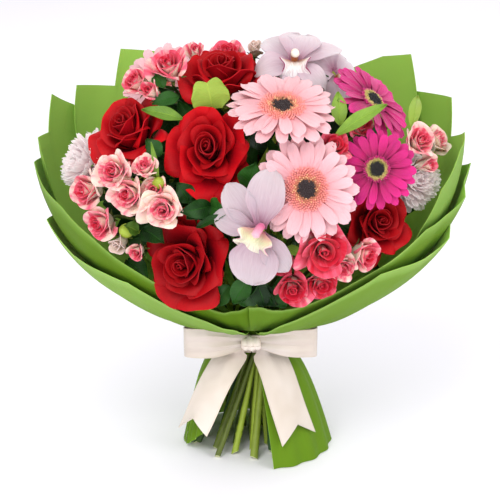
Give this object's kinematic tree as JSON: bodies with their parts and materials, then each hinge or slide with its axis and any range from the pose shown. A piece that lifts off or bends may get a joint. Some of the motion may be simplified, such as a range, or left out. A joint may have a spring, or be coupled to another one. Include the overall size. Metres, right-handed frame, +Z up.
{
  "type": "mixed flower bouquet",
  "caption": "Hand-tied bouquet of roses, gerberas, orchids and spray roses in folded green paper with a satin bow, standing on its splayed cut stems.",
  "frame": {"origin": "centre of the bounding box in plan, on the plane the cut stem ends stand on", "axes": "+Z up from the cut stem ends to the blooms, -Y towards the front with the bow, +X to the right seen from the front"},
  "size_m": [0.4216, 0.3314, 0.415],
  "materials": {
    "rose_petal": "velvety",
    "pale_gerbera_petal": "satin",
    "pale_gerbera_disc": "fuzzy",
    "magenta_gerbera_petal": "satin",
    "magenta_gerbera_disc": "fuzzy",
    "orchid_tepal": "waxy",
    "orchid_lip": "waxy",
    "chrysanthemum_petal": "satin",
    "spray_rose_petal": "velvety",
    "stem": "waxy",
    "leaf": "satin",
    "lime_leaf": "satin",
    "tie": "matt",
    "wrap_paper": "matt",
    "ribbon_satin": "satin"
  },
  "bodies": {
    "root": {"chrysanthemum_left": "chrysanthemum_petal", "chrysanthemum_right": "chrysanthemum_petal", "foliage_back": "leaf", "foliage_heart_leaf": "lime_leaf", "foliage_left": "leaf", "foliage_low": "leaf", "foliage_right": "leaf", "magenta_gerbera_1_disc": "magenta_gerbera_disc", "magenta_gerbera_1_rays": "magenta_gerbera_petal", "magenta_gerbera_1_stem": "stem", "magenta_gerbera_2_disc": "magenta_gerbera_disc", "magenta_gerbera_2_rays": "magenta_gerbera_petal", "magenta_gerbera_2_stem": "stem", "orchid_1": "orchid_tepal", "orchid_1_lip": "orchid_lip", "orchid_2": "orchid_tepal", "orchid_2_lip": "orchid_lip", "orchid_3": "orchid_tepal", "orchid_3_lip": "orchid_lip", "pale_gerbera_1_disc": "pale_gerbera_disc", "pale_gerbera_1_rays": "pale_gerbera_petal", "pale_gerbera_1_stem": "stem", "pale_gerbera_2_disc": "pale_gerbera_disc", "pale_gerbera_2_rays": "pale_gerbera_petal", "pale_gerbera_2_stem": "stem", "pale_gerbera_3_disc": "pale_gerbera_disc", "pale_gerbera_3_rays": "pale_gerbera_petal", "pale_gerbera_3_stem": "stem", "red_rose_1": "rose_petal", "red_rose_1_stem": "stem", "red_rose_2": "rose_petal", "red_rose_2_stem": "stem", "red_rose_3": "rose_petal", "red_rose_3_stem": "stem", "red_rose_4": "rose_petal", "red_rose_4_stem": "stem", "red_rose_5": "rose_petal", "red_rose_5_stem": "stem", "red_rose_6": "rose_petal", "red_rose_6_stem": "stem", "ribbon_bow": "ribbon_satin", "spray_roses_back": "spray_rose_petal", "spray_roses_left_lower": "spray_rose_petal", "spray_roses_left_upper": "spray_rose_petal", "spray_roses_lower_middle": "spray_rose_petal", "spray_roses_lower_right": "spray_rose_petal", "spray_roses_middle": "spray_rose_petal", "spray_roses_right": "spray_rose_petal", "spray_roses_top": "spray_rose_petal", "spray_roses_top_left": "spray_rose_petal", "stem_tie": "tie", "wrap_sheet_back": "wrap_paper", "wrap_sheet_back_left": "wrap_paper", "wrap_sheet_back_right": "wrap_paper", "wrap_sheet_left": "wrap_paper", "wrap_sheet_left_back": "wrap_paper", "wrap_sheet_left_front": "wrap_paper", "wrap_sheet_right": "wrap_paper", "wrap_sheet_right_back": "wrap_paper", "wrap_sheet_right_front": "wrap_paper"}
  },
  "joints": []
}
